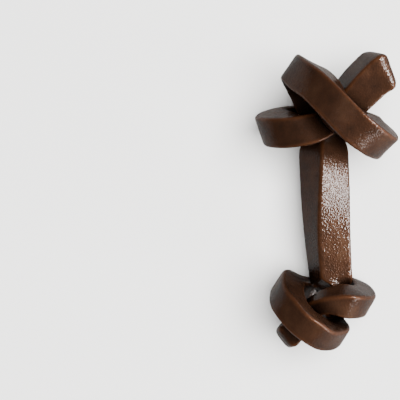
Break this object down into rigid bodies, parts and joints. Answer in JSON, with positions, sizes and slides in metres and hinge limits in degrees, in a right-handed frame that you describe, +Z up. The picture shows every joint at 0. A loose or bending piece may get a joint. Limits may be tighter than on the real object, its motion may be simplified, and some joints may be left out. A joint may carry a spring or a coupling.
{
  "type": "knot cufflink",
  "caption": "Fixed double-ended cufflink: one square metal strap tied in a large open knot at the front, a straight square bar for the buttonholes, and a small knot at the back.",
  "frame": {"origin": "centre of the underside of the part's box, on the surface that it lies on", "axes": "+X along the bar towards the large front knot, +Z up as the cufflink lies on a table, +Y to the side"},
  "size_m": [0.0298, 0.0144, 0.0142],
  "materials": {
    "brown_plated_metal": "satin brown plating over cast brass, fine pebbled grain, bright worn edges"
  },
  "bodies": {
    "root": {"knotted_bar": "brown_plated_metal"}
  },
  "joints": []
}
